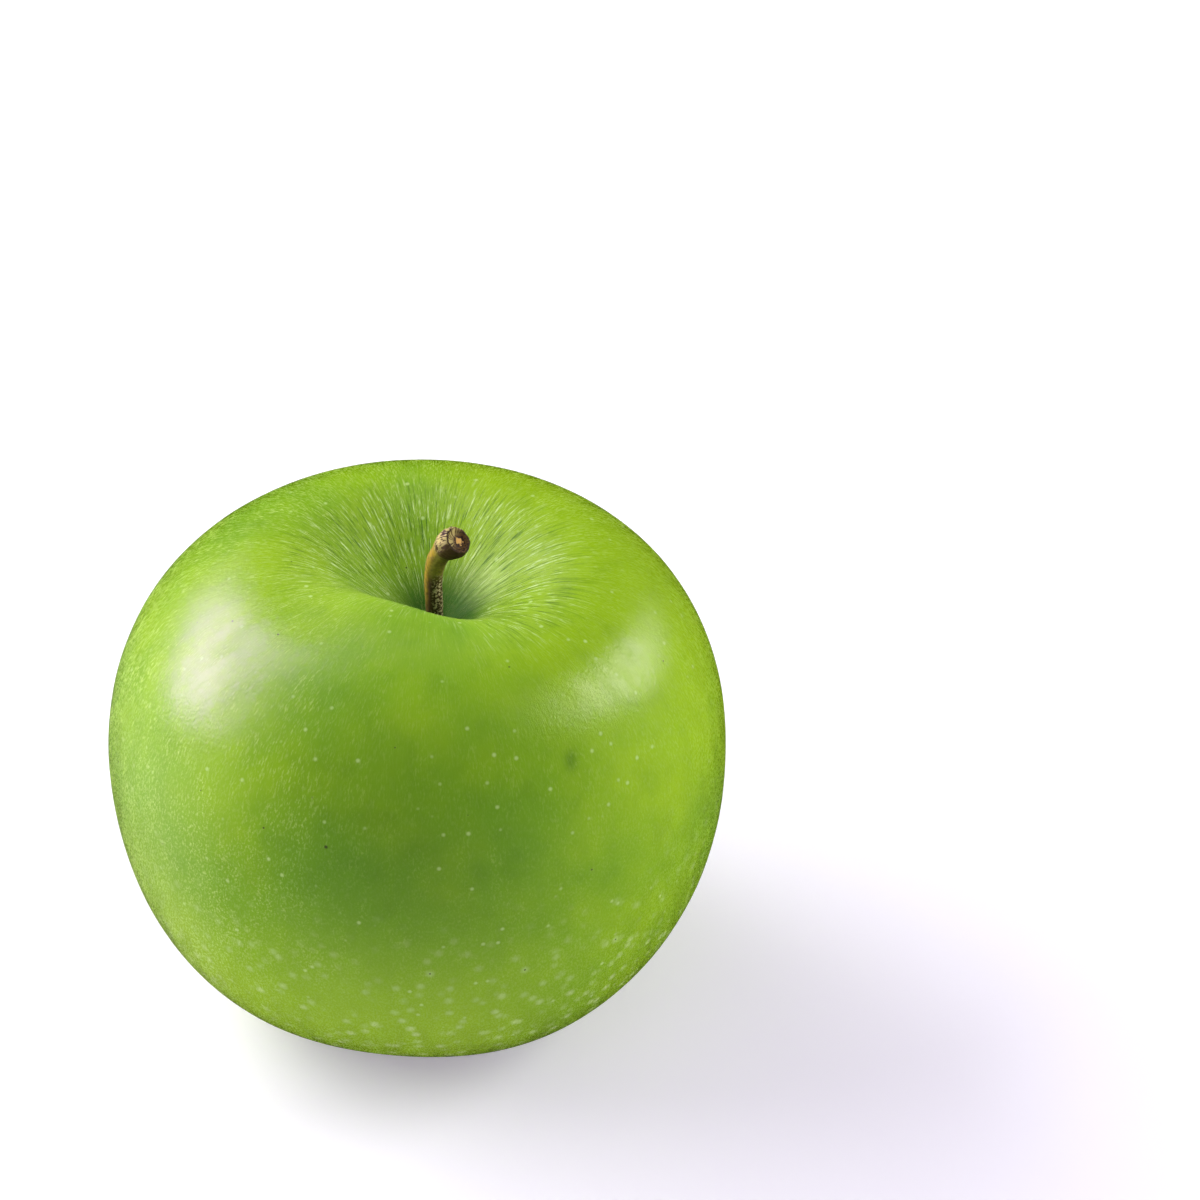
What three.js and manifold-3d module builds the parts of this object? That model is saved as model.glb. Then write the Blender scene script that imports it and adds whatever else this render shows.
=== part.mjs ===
// A whole green apple with its stem, standing on the five crowns round its calyx.
// Millimetres, +Z up. The origin lies on the surface it stands on, under the middle of its box.
// Every piece is drawn round the middle of the fruit's body, and the group lifts them all.

import * as THREE from 'three';
import { mergeVertices } from 'three/addons/utils/BufferGeometryUtils.js';
import Module from 'manifold-3d';

const wasm = await Module();
wasm.setup();

const { clamp, degToRad, lerp, smoothstep } = THREE.MathUtils;

// Body of the fruit, before its two ends are hollowed
const HALF_WIDTH = 37.6;
const HALF_HEIGHT = 34.7;
const SHOULDER_FULLNESS = 1.8;
const FOOT_FULLNESS = 3.6;
const OVAL_SHARE = 0.035;
const LEFT_SHARE = 0.042;
const MIDDLE_HEIGHT = 33.3;

// Five soft ribs that grow towards the foot, and the crown at the end of each
const RIB_COUNT = 5;
const RIB_SHARE = 0.010;
const RIB_TURN = degToRad(7);
const CROWN_RADIUS = 15.0;
const CROWN_HEIGHT = 1.0;

// Stem cavity: a funnel, with a rim that is highest in front and dips at the front right
const CAVITY_DEPTH = 17.3;
const CAVITY_WIDTH = 11.3;
const CAVITY_TIP_ROUNDING = 0.14;
const CAVITY_BACK_SHIFT = 1.0;
const RIM_RADIUS = 9.0;
const RIM_LIFT = 2.1;
const RIM_LIFT_TURN = degToRad(-101);
const RIM_SADDLE = 1.5;
const RIM_SADDLE_TURN = degToRad(60);

// Calyx basin underneath
const BASIN_DEPTH = 8.0;
const BASIN_WIDTH = 8.5;

// Gap between two pieces that touch on the real apple
const GAP = 0.3;

// Middle line of the stem, from its foot in the cavity to its broken end
const STEM_LINE = [
  [0.4, 1.0, 13.2],
  [0.5, 1.0, 20.6],
  [0.4, 1.0, 26.0],
  [0.75, 0.7, 29.2],
  [1.75, 0.05, 31.6],
  [3.35, -1.1, 33.9],
];
const STEM_FOOT_RADIUS = 1.15;
const STEM_SHAFT_RADIUS = 1.1;
const STEM_NECK_RADIUS = 1.25;
const STEM_KNOB_RADIUS = 1.95;
const STEM_END_RADIUS = 1.7;
const STEM_END_DISH = 0.35;

// Dried sepals in the calyx basin
const SEPAL_COUNT = 5;
const SEPAL_BASE_RADIUS = 2.9;
const SEPAL_BASE_THICKNESS = 1.8;
const SEPAL_BASE_SINK = 1.4;
const SEPAL_ROOT_RADIUS = 2.3;
const SEPAL_LEAN = 0.75;
const SEPAL_WIDTH = 3.0;
const SEPAL_TIP_SHARE = 0.25;
const SEPAL_THICKNESS = 0.7;
const SEPAL_LENGTH = [4.2, 4.9];
const SEPAL_CURL = [0.9, 1.9];

// Dried stamens between the sepals
const STAMEN_COUNT = 9;
const STAMEN_BASE_RADIUS = 0.9;
const STAMEN_BASE_THICKNESS = 0.6;
const STAMEN_THICKNESS = 0.62;
const STAMEN_LENGTH = [2.2, 3.1];
const STAMEN_ROOT_RADIUS = [0.05, 0.5];
const STAMEN_LEAN = [-0.2, 0.1];

// Facets round each piece, and rings from its top to its foot
const FRUIT_FACETS = 64;
const FRUIT_RINGS = 42;
const STEM_FACETS = 14;
const SEPAL_FACETS = 8;
const SEPAL_RINGS = 9;
const STAMEN_FACETS = 5;
const STAMEN_RINGS = 5;
const DISC_FACETS = 24;

// A small repeatable random number maker, for the unevenness of the dried flower
function randomFrom(seed) {
  let state = seed;
  return ([low, high]) => {
    state = (state * 16807) % 2147483647;
    return lerp(low, high, state / 2147483647);
  };
}

// A closed skin of rings, from its top down. pointAt takes a ring and the angle round it,
// anticlockwise from above, and gives one same point all round the first and the last ring.
function skin(rings, facets, pointAt) {
  const corners = [];
  const triangles = [];
  for (let ring = 0; ring <= rings; ring++) {
    for (let facet = 0; facet < facets; facet++) {
      corners.push(pointAt(ring, (facet / facets) * 2 * Math.PI));
    }
  }
  for (let ring = 0; ring < rings; ring++) {
    for (let facet = 0; facet < facets; facet++) {
      const here = ring * facets + facet;
      const beside = ring * facets + ((facet + 1) % facets);
      if (ring > 0) triangles.push(here, here + facets, beside);
      if (ring < rings - 1) triangles.push(beside, here + facets, beside + facets);
    }
  }
  const geometry = new THREE.BufferGeometry().setFromPoints(corners);
  geometry.setIndex(triangles);
  return geometry;
}

// A geometry as a solid that can be joined and cut
function toSolid(geometry) {
  const bare = geometry.clone();
  bare.deleteAttribute('normal');
  bare.deleteAttribute('uv');
  const merged = mergeVertices(bare);
  const vertProperties = new Float32Array(merged.attributes.position.array);
  const triVerts = new Uint32Array(merged.index.array);
  return new wasm.Manifold(new wasm.Mesh({ numProp: 3, vertProperties, triVerts }));
}

function toGeometry(solid) {
  const mesh = solid.getMesh();
  const geometry = new THREE.BufferGeometry();
  geometry.setAttribute('position', new THREE.BufferAttribute(mesh.vertProperties, 3));
  geometry.setIndex(new THREE.BufferAttribute(mesh.triVerts, 1));
  geometry.computeVertexNormals();
  return geometry;
}

// An upright round disc between two heights
function disc(x, y, radius, low, high) {
  const geometry = new THREE.CylinderGeometry(radius, radius, high - low, DISC_FACETS);
  geometry.rotateX(Math.PI / 2);
  geometry.translate(x, y, (low + high) / 2);
  return toSolid(geometry);
}

// A soft bump that is 0 at 0, 1 at 1 and fades out beyond
function bump(share) {
  return share ** 2 * Math.exp(1 - share ** 2);
}

// How far the stem cavity and its uneven rim move the skin up or down
function cavityHeight(radius, around) {
  const rounding = CAVITY_TIP_ROUNDING;
  const widths = Math.sqrt((radius / CAVITY_WIDTH) ** 2 + rounding ** 2) - rounding;
  const lift = RIM_LIFT * Math.cos(around - RIM_LIFT_TURN);
  const saddle = RIM_SADDLE * Math.cos(2 * (around - RIM_SADDLE_TURN));
  return bump(radius / RIM_RADIUS) * (lift + saddle) - CAVITY_DEPTH * Math.exp(-widths);
}

// How far the calyx basin and the hollows between the crowns move the skin up
function basinHeight(radius, around) {
  const between = (1 - Math.cos(RIB_COUNT * (around - RIB_TURN))) / 2;
  const hollow = CROWN_HEIGHT * bump(radius / CROWN_RADIUS) * between;
  return hollow + BASIN_DEPTH * Math.exp(-((radius / BASIN_WIDTH) ** 2));
}

// A point of the fruit's skin: polar runs from the stem end, 0, to the calyx end, PI
function fruitPoint(polar, around) {
  const up = Math.cos(polar);
  const out = Math.sin(polar);
  const fullness = lerp(FOOT_FULLNESS, SHOULDER_FULLNESS, (1 + up) / 2);
  const plain = HALF_WIDTH * out ** 2 + HALF_HEIGHT * up ** 2 + fullness * Math.sin(2 * polar) ** 2;
  const rib = RIB_SHARE * Math.cos(RIB_COUNT * (around - RIB_TURN)) * smoothstep(-up, -0.35, 1);
  const oval = OVAL_SHARE * Math.cos(2 * around) * out ** 2;
  const radius = plain * out * (1 + oval + (rib - LEFT_SHARE * Math.cos(around)) * out);
  const shift = CAVITY_BACK_SHIFT * ((1 + up) / 2) ** 2;
  const cavity = cavityHeight(radius, around) * smoothstep(up, 0, 0.5);
  const basin = basinHeight(radius, around) * smoothstep(-up, 0, 0.5);
  const height = plain * up + cavity + basin;
  return new THREE.Vector3(radius * Math.cos(around), radius * Math.sin(around) + shift, height);
}

const cavityFloor = fruitPoint(0, 0).z;
const basinFloor = fruitPoint(Math.PI, 0).z;
const sepalBaseTop = basinFloor + SEPAL_BASE_SINK;
const sepalBaseFoot = sepalBaseTop - SEPAL_BASE_THICKNESS;

// The rings lie closer together towards both ends, where the skin turns in
function fruitSkin() {
  const crowding = 0.3;
  return skin(FRUIT_RINGS, FRUIT_FACETS, (ring, around) => {
    const down = ring / FRUIT_RINGS;
    return fruitPoint(Math.PI * down - crowding * Math.sin(2 * Math.PI * down), around);
  });
}

// The skin, cut level under its crowns, with plain sockets for the stem and the dried flower
function fruitGeometry() {
  const [footX, footY, footZ] = STEM_LINE[0];
  const slabSize = 4 * HALF_WIDTH;
  const slab = new THREE.BoxGeometry(slabSize, slabSize, slabSize);
  slab.translate(0, 0, -MIDDLE_HEIGHT - slabSize / 2);
  const stemSocket = disc(footX, footY, STEM_FOOT_RADIUS + GAP, footZ - GAP, cavityFloor + CAVITY_DEPTH);
  const flowerSocket = disc(0, 0, SEPAL_BASE_RADIUS + GAP, -MIDDLE_HEIGHT, sepalBaseTop + GAP);
  return toGeometry(toSolid(fruitSkin()).subtract(toSolid(slab)).subtract(stemSocket).subtract(flowerSocket));
}

// The stem's outline: share of the way up its middle line, and radius there
function stemOutline(length) {
  const dished = 1 - STEM_END_DISH / length;
  return [
    [0, 0],
    [0, STEM_FOOT_RADIUS],
    [0.2, STEM_FOOT_RADIUS],
    [0.35, STEM_SHAFT_RADIUS],
    [0.48, STEM_SHAFT_RADIUS],
    [0.6, STEM_SHAFT_RADIUS],
    [0.7, lerp(STEM_SHAFT_RADIUS, STEM_NECK_RADIUS, 0.6)],
    [0.77, STEM_NECK_RADIUS],
    [0.82, lerp(STEM_NECK_RADIUS, STEM_KNOB_RADIUS, 0.15)],
    [0.87, lerp(STEM_NECK_RADIUS, STEM_KNOB_RADIUS, 0.55)],
    [0.92, lerp(STEM_NECK_RADIUS, STEM_KNOB_RADIUS, 0.9)],
    [0.96, STEM_KNOB_RADIUS],
    [0.99, lerp(STEM_KNOB_RADIUS, STEM_END_RADIUS, 0.4)],
    [1, STEM_END_RADIUS],
    [dished, 0.6 * STEM_END_RADIUS],
    [dished, 0],
  ];
}

function stemGeometry() {
  const line = new THREE.CatmullRomCurve3(STEM_LINE.map((point) => new THREE.Vector3(...point)));
  const fromTop = stemOutline(line.getLength()).reverse();
  const depthAxis = new THREE.Vector3(0, 1, 0);
  return skin(fromTop.length - 1, STEM_FACETS, (ring, around) => {
    const [share, radius] = fromTop[ring];
    const along = line.getTangentAt(share);
    const right = new THREE.Vector3().crossVectors(depthAxis, along).normalize();
    const back = new THREE.Vector3().crossVectors(along, right);
    const point = line.getPointAt(share);
    point.addScaledVector(right, radius * Math.cos(around));
    return point.addScaledVector(back, radius * Math.sin(around));
  });
}

// A strip that hangs from a root height, with an oval section. out, width and thickness
// take the share of its length, and turn is the side of the flower that it hangs on.
function strip({ rings, facets, root, length, turn, out, width, thickness }) {
  const geometry = skin(rings, facets, (ring, around) => {
    const share = clamp((ring - 1) / (rings - 2), 0, 1);
    const section = ring === 0 || ring === rings ? 0 : 0.5;
    const through = section * thickness(share) * Math.cos(around);
    const across = section * width(share) * Math.sin(around);
    return new THREE.Vector3(out(share) + through, across, root - length * share);
  });
  geometry.rotateZ(turn);
  return toSolid(geometry);
}

// Five dried sepals on one base, which lean together and curl out again at their tips
function sepalsGeometry() {
  const random = randomFrom(31);
  let flower = disc(0, 0, SEPAL_BASE_RADIUS, sepalBaseFoot, sepalBaseTop);
  for (let sepal = 0; sepal < SEPAL_COUNT; sepal++) {
    const length = random(SEPAL_LENGTH);
    const curl = random(SEPAL_CURL);
    const turn = RIB_TURN + ((sepal + random([0, 0.15])) / SEPAL_COUNT) * 2 * Math.PI;
    flower = flower.add(strip({
      rings: SEPAL_RINGS,
      facets: SEPAL_FACETS,
      root: (sepalBaseFoot + sepalBaseTop) / 2,
      length,
      turn,
      out: (share) => SEPAL_ROOT_RADIUS - SEPAL_LEAN * Math.sin(Math.PI * share) + curl * share ** 3,
      width: (share) => SEPAL_WIDTH * lerp(1, SEPAL_TIP_SHARE, share ** 1.5),
      thickness: () => SEPAL_THICKNESS,
    }));
  }
  return toGeometry(flower);
}

// A tuft of dried stamens on one base, just under the base of the sepals
function stamensGeometry() {
  const random = randomFrom(47);
  const top = sepalBaseFoot - GAP;
  const foot = top - STAMEN_BASE_THICKNESS;
  let tuft = disc(0, 0, STAMEN_BASE_RADIUS, foot, top);
  for (let stamen = 0; stamen < STAMEN_COUNT; stamen++) {
    const rootRadius = random(STAMEN_ROOT_RADIUS);
    const lean = random(STAMEN_LEAN);
    tuft = tuft.add(strip({
      rings: STAMEN_RINGS,
      facets: STAMEN_FACETS,
      root: (foot + top) / 2,
      length: random(STAMEN_LENGTH),
      turn: (stamen / STAMEN_COUNT) * 2 * Math.PI,
      out: (share) => rootRadius + lean * share,
      width: () => STAMEN_THICKNESS,
      thickness: () => STAMEN_THICKNESS,
    }));
  }
  return toGeometry(tuft);
}

function piece(name, geometry, color, roughness) {
  const material = new THREE.MeshStandardMaterial({ color, roughness, metalness: 0 });
  const mesh = new THREE.Mesh(geometry, material);
  mesh.name = name;
  return mesh;
}

const fruit = piece('fruit', fruitGeometry(), '#8ab535', 0.32);
const stem = piece('stem', stemGeometry(), '#6b5228', 0.8);
const sepals = piece('sepals', sepalsGeometry(), '#7d7350', 0.85);
const stamens = piece('stamens', stamensGeometry(), '#4a3823', 0.9);

const apple = new THREE.Group();
apple.name = 'apple';
apple.add(fruit, stem, sepals, stamens);
fruit.geometry.computeBoundingBox();
const middle = fruit.geometry.boundingBox.getCenter(new THREE.Vector3());
apple.position.set(-middle.x, -middle.y, MIDDLE_HEIGHT);

export default apple;
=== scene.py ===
"""A whole green apple with its stem and dried calyx, dressed around its packed model.

Metres, +Z up, in the model's own frame. Each piece is drawn round the middle of the fruit's
body, as the model's solids are, and then set where the model has it.
"""
import math
import random

import bpy
import numpy as np
from mathutils import Matrix, Vector


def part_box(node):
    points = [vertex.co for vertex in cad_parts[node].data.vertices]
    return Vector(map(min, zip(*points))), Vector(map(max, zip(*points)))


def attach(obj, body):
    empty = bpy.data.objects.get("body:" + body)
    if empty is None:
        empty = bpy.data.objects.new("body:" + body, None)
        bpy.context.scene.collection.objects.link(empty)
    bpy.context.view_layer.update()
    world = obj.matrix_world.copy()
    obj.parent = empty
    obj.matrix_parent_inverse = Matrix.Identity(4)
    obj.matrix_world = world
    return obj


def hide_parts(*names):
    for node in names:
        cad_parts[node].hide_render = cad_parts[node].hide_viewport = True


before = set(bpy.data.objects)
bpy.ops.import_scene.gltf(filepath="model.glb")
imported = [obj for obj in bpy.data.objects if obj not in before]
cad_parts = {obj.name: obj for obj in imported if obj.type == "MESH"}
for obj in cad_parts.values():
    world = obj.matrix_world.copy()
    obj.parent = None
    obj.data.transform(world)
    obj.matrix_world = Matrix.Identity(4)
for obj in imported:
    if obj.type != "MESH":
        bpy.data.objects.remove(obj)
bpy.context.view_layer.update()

bl_info = {
    "name": "Green Apple",
    "version": (1, 0, 0),
    "blender": (4, 5, 0),
    "location": "View3D > Sidebar > Apple",
    "description": "Grows a green apple with its stem and calyx, and sets a plain studio round it",
    "category": "Add Mesh",
}

MM = 0.001
TURN = 2 * math.pi

# Sockets of the Mix node when it mixes colours
MIX_SHARE, MIX_FIRST, MIX_SECOND, MIX_RESULT = 0, 6, 7, 2

# Sockets of the Map Range node: the value, the two ends of its range, and the result at each
VALUE, LOW, HIGH, AT_LOW, AT_HIGH = range(5)

# Width of the camera's sensor, in millimetres
SENSOR_WIDTH = 36

# Directions round the fruit: to its left side, and to a spot of painted light on the cavity's wall
LEFT_TURN = math.radians(190)
LIT_SPOT_TURN = math.radians(25)

# Middle and half sizes of the dark smudge, in the frame and in millimetres
BRUISE = (18.35, -26.2, 53.1)
BRUISE_REACH = (0.7, 2.0, 1.2)

# Middle and half size of a wide, faint patch of painted shade on the front
SHADE_PATCH = (-5.0, -34.5, 45.5)
SHADE_PATCH_REACH = 14

# Middle of one dark prick in the peel
PRICK = (-10.87, -33.28, 45.59)

# Direction of the crust on the stem's swollen end, and how often the cracks in it come, round
# the stem and along it
CRUST_TURN = math.radians(150)
FIBRES = (8, 8, 1.2)


def length(name, description, millimetres):
    """A size that a user may change, given in millimetres and held in metres."""
    return bpy.props.FloatProperty(
        name=name, description=description, default=millimetres * MM, unit="LENGTH", precision=5
    )


def angle(name, description, degrees):
    return bpy.props.FloatProperty(
        name=name, description=description, default=math.radians(degrees), unit="ROTATION"
    )


def share(name, description, default):
    return bpy.props.FloatProperty(
        name=name, description=description, default=default, subtype="FACTOR"
    )


def linear(hex_colour):
    """An sRGB hex colour as linear red, green and blue."""
    parts = [int(hex_colour[i : i + 2], 16) / 255 for i in (1, 3, 5)]
    return tuple(p / 12.92 if p <= 0.04045 else ((p + 0.055) / 1.055) ** 2.4 for p in parts)


def colour(name, description, hex_colour):
    return bpy.props.FloatVectorProperty(
        name=name, description=description, default=linear(hex_colour), subtype="COLOR",
        min=0, max=1,
    )


class FruitShape(bpy.types.PropertyGroup):
    """Sizes of the fruit, the same as its solid has"""

    half_width: length("Half width", "Mean radius of the widest ring", 37.6)
    half_height: length("Half height", "From the middle to each end before it is hollowed", 34.7)
    shoulder_fullness: length("Shoulder fullness", "Extra radius half way up", 1.8)
    foot_fullness: length("Foot fullness", "Extra radius half way down", 3.6)
    middle_height: length("Middle height", "Height of the body's middle above the surface", 33.3)
    oval_share: share("Oval", "How much wider the fruit is across than deep", 0.035)
    left_share: share("Left side", "How much fuller the left side is", 0.042)
    rib_count: bpy.props.IntProperty(name="Ribs", description="Ribs, each with a crown", default=5)
    rib_share: share("Rib height", "Height of the ribs as a share of the radius", 0.010)
    rib_turn: angle("Rib turn", "Direction of the first rib", 7)
    crown_radius: length("Crown radius", "From the middle of the calyx to the crowns", 15.0)
    crown_height: length("Crown height", "Depth of the hollows between the crowns", 1.0)
    cavity_depth: length("Cavity depth", "Depth of the stem cavity's funnel", 17.3)
    cavity_width: length("Cavity width", "Radius over which the funnel rises", 11.3)
    cavity_rounding: share("Cavity rounding", "Rounding of the funnel's tip", 0.14)
    cavity_shift: length("Cavity shift", "How far the cavity lies towards the back", 1.0)
    rim_radius: length("Rim radius", "From the stem to the cavity's rim", 9.0)
    rim_lift: length("Rim lift", "Height of the rim's higher side", 2.1)
    rim_lift_turn: angle("Rim lift turn", "Direction of the higher side", -101)
    rim_saddle: length("Rim saddle", "Height of the rim's two ridges", 1.5)
    rim_saddle_turn: angle("Rim saddle turn", "Direction of the first ridge", 60)
    basin_depth: length("Basin depth", "Depth of the calyx basin", 8.0)
    basin_width: length("Basin width", "Radius over which the basin falls", 8.5)


class StemShape(bpy.types.PropertyGroup):
    """Sizes of the stem, the same as its solid has"""

    foot_radius: length("Foot radius", "Radius in the cavity's floor", 1.15)
    shaft_radius: length("Shaft radius", "Radius of the straight lower part", 1.1)
    neck_radius: length("Neck radius", "Radius at the bend", 1.25)
    knob_radius: length("Knob radius", "Radius of the swollen upper end", 1.95)
    end_radius: length("End radius", "Radius of the broken end", 1.7)
    end_dish: length("End dish", "Depth of the broken end's hollow", 0.35)


class CalyxShape(bpy.types.PropertyGroup):
    """Sizes of the dried flower in the basin"""

    sepal_count: bpy.props.IntProperty(name="Sepals", description="Dried sepals", default=5)
    base_radius: length("Base radius", "Radius of the sepals' base", 2.9)
    base_thickness: length("Base thickness", "Thickness of the sepals' base", 1.8)
    base_sink: length("Base sink", "How deep the base sits in the basin's floor", 1.4)
    root_radius: length("Root radius", "From the middle to a sepal's root", 2.3)
    sepal_lean: length("Sepal lean", "How far the sepals lean together", 0.75)
    sepal_width: length("Sepal width", "Width at the root", 3.0)
    sepal_thickness: length("Sepal thickness", "Thickness of the dried leaf", 0.45)
    sepal_length: length("Sepal length", "Length of the longest sepal", 4.9)
    stamen_count: bpy.props.IntProperty(name="Stamens", description="Dried stamens", default=14)
    stamen_radius: length("Stamen radius", "Radius of a dried stamen", 0.14)
    stamen_length: length("Stamen length", "Length of the longest stamen", 3.1)


class AppleColours(bpy.types.PropertyGroup):
    """Colours of the apple, matched to a ripe green one"""

    ground: colour("Ground", "Main green of the peel", "#6f9e24")
    # Laid on round the foot as painted light, thrown up from the floor
    foot: colour("Foot", "Brighter green round the foot", "#a8cc38")
    sunny: colour("Sunny green", "Yellower green of the shoulder and the sunny side", "#93b81e")
    # Also laid on as painted shade deep in the cavity and over a wide patch of the front
    shade: colour("Shade green", "Deep green of the cavity and between its streaks", "#35661a")
    # Also laid on as a painted sheen on the left side and painted light on the cavity's wall
    streak_and_sheen: colour("Streak", "Pale streaks that run from the stem", "#d2e69c")
    mottle: colour("Mottle", "Short yellowish dashes all over the peel", "#cfe084")
    dot: colour("Dot", "Pale breathing pores of the peel", "#cce394")
    speck: colour("Speck", "Tiny corky centres of some pores", "#3a4020")
    bark: colour("Bark", "Dark brown of the stem", "#473518")
    bark_olive: colour("Olive bark", "Younger bark at the bend", "#8a8430")
    bark_ochre: colour("Ochre bark", "Sunlit stripe of the stem", "#b9971a")
    bark_grit: colour("Grit", "Pale corky grains on the stem", "#d0bf92")
    crust: colour("Crust", "Cream crust of the swollen end", "#c4b26c")
    wood: colour("Broken wood", "Brown wood of the broken end", "#5c431c")
    dark_ring_and_shade: colour("Dark ring", "Darker rings in the broken wood", "#2a180b")
    # Also laid on the stem's underside as painted shade
    pith: colour("Pith", "Pale pith in the broken end", "#d3a455")
    sepal: colour("Sepal", "Dried sepal", "#80754f")
    sepal_edge: colour("Sepal edge", "Withered edge of a sepal", "#4c3a24")
    stamen: colour("Stamen", "Dried stamen", "#4e3a22")


class Studio(bpy.types.PropertyGroup):
    """The plain studio, and the camera at the photograph's viewing angle"""

    elevation: angle("Camera elevation", "How far above level the camera looks from", 40)
    distance: length("Camera distance", "From the fruit's middle", 600)
    focal_length: bpy.props.FloatProperty(
        name="Focal length", description="Of the lens, on a sensor 36 mm wide", default=142.4,
        unit="CAMERA",
    )
    photo_size: bpy.props.FloatProperty(
        name="Photograph", description="Width and height of the photograph", default=1200,
        subtype="PIXEL",
    )
    photo_x: bpy.props.FloatProperty(
        name="Fruit across", description="Where the fruit's middle is in the photograph",
        default=430.2, subtype="PIXEL",
    )
    photo_y: bpy.props.FloatProperty(
        name="Fruit down", description="Where the fruit's middle is in the photograph",
        default=747.9, subtype="PIXEL",
    )
    floor: colour("Floor", "White sweep that the apple stands on", "#f0f0f0")
    glow: colour("Glow", "Light from behind the floor's sheet", "#dec0ff")
    glow_strength: bpy.props.FloatProperty(
        name="Glow strength", description="Of the light from behind the floor", default=0.29
    )


GROUPS = {
    "apple_fruit": FruitShape,
    "apple_stem": StemShape,
    "apple_calyx": CalyxShape,
    "apple_colours": AppleColours,
    "apple_studio": Studio,
}


def smooth(value, low, high):
    """0 below low, 1 above high, and an S curve between."""
    s = np.clip((value - low) / (high - low), 0, 1)
    return s * s * (3 - 2 * s)


def bump(value):
    """A soft bump that is 0 at 0, 1 at 1 and fades out beyond."""
    return value**2 * np.exp(1 - value**2)


def cavity_height(shape, radius, around):
    """How far the stem cavity and its uneven rim move the skin up or down."""
    rounding = shape.cavity_rounding
    widths = np.sqrt((radius / shape.cavity_width) ** 2 + rounding**2) - rounding
    lift = shape.rim_lift * np.cos(around - shape.rim_lift_turn)
    saddle = shape.rim_saddle * np.cos(2 * (around - shape.rim_saddle_turn))
    return bump(radius / shape.rim_radius) * (lift + saddle) - shape.cavity_depth * np.exp(-widths)


def basin_height(shape, radius, around):
    """How far the calyx basin and the hollows between the crowns move the skin up."""
    between = (1 - np.cos(shape.rib_count * (around - shape.rib_turn))) / 2
    hollow = shape.crown_height * bump(radius / shape.crown_radius) * between
    return hollow + shape.basin_depth * np.exp(-((radius / shape.basin_width) ** 2))


def fruit_points(shape, polar, around):
    """Points of the fruit's skin: polar runs from the stem end, 0, to the calyx end, pi."""
    up, out = np.cos(polar), np.sin(polar)
    fullness = shape.foot_fullness + (shape.shoulder_fullness - shape.foot_fullness) * (1 + up) / 2
    plain = shape.half_width * out**2 + shape.half_height * up**2
    plain = plain + fullness * np.sin(2 * polar) ** 2
    rib = shape.rib_share * np.cos(shape.rib_count * (around - shape.rib_turn))
    rib = rib * smooth(-up, -0.35, 1)
    oval = shape.oval_share * np.cos(2 * around) * out**2
    radius = plain * out * (1 + oval + (rib - shape.left_share * np.cos(around)) * out)
    shift = shape.cavity_shift * ((1 + up) / 2) ** 2
    cavity = cavity_height(shape, radius, around) * smooth(up, 0, 0.5)
    basin = basin_height(shape, radius, around) * smooth(-up, 0, 0.5)
    across = radius * np.cos(around)
    deep = radius * np.sin(around) + shift
    return np.stack([across, deep, plain * up + cavity + basin], axis=-1)


def body_middle(shape):
    """The middle of the fruit's body in the frame: the fruit's box is level with its solid's."""
    polar = np.linspace(0, math.pi, 181)[:, None]
    around = np.linspace(0, TURN, 360, endpoint=False)[None, :]
    points = fruit_points(shape, polar, around)
    own = (points.max(axis=(0, 1)) + points.min(axis=(0, 1))) / 2
    low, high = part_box("fruit")
    solid = (low + high) / 2
    return np.array([solid.x - own[0], solid.y - own[1], shape.middle_height])


def ring_faces(rings, columns):
    """Faces between closed rings of points, and a fan from the pole at each end."""
    column = np.arange(columns)
    beside = (column + 1) % columns
    faces = [(0, 1 + c, 1 + b) for c, b in zip(column, beside)]
    for ring in range(rings - 1):
        upper = 1 + ring * columns
        lower = upper + columns
        faces += [(upper + c, lower + c, lower + b, upper + b) for c, b in zip(column, beside)]
    last_ring = 1 + (rings - 1) * columns
    last = last_ring + columns
    faces += [(last_ring + c, last, last_ring + b) for c, b in zip(column, beside)]
    return faces


def skin(points):
    """Points and faces of a closed skin. The first and the last row of points are its poles."""
    rings, columns = points.shape[0] - 2, points.shape[1]
    body = points[1:-1].reshape(-1, 3)
    corners = np.concatenate([points[:1, 0], body, points[-1:, 0]])
    return corners, ring_faces(rings, columns)


def poled(values):
    """Values of a skin's points in the order of its corners."""
    tail = values.shape[2:]
    return np.concatenate([values[:1, 0], values[1:-1].reshape(-1, *tail), values[-1:, 0]])


def make_piece(name, corners, faces, material, node):
    """A smooth mesh piece that stands for a node of the model and rides with it."""
    mesh = bpy.data.meshes.new(name)
    mesh.from_pydata(corners.tolist(), [], faces)
    mesh.validate()
    mesh.shade_smooth()
    mesh.materials.append(material)
    piece = bpy.data.objects.new(name, mesh)
    bpy.context.scene.collection.objects.link(piece)
    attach(piece, "root")
    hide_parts(node)
    return piece


def add_attribute(piece, name, values):
    """Keeps a number, or three, with each corner of a mesh, for its material to read."""
    kind = "FLOAT" if values.ndim == 1 else "FLOAT_VECTOR"
    layer = piece.data.attributes.new(name, kind, "POINT")
    field = "value" if kind == "FLOAT" else "vector"
    layer.data.foreach_set(field, values.astype(np.float32).ravel())


def wavy(points, size, seed, octaves=3):
    """Smooth repeatable noise from -1 to 1 at points, with features of about the given size.
    It sums plane waves in drawn directions, finer and weaker with each octave."""
    waves, finer, weaker = 6, 1.9, 0.55
    draw = random.Random(seed)
    total = np.zeros(points.shape[:-1])
    reach = 0
    for octave in range(octaves):
        scale = TURN / (size * 2 / finer**octave)
        weight = weaker**octave
        reach += weight
        for _ in range(waves):
            way = Vector([draw.gauss(0, 1) for _ in range(3)]).normalized()
            phase = draw.uniform(0, TURN)
            pace = scale * draw.uniform(0.6, 1.4)
            total += weight * 2 / waves * np.sin(pace * points @ np.array(way) + phase)
    return np.clip(total / reach, -1, 1)


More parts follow.
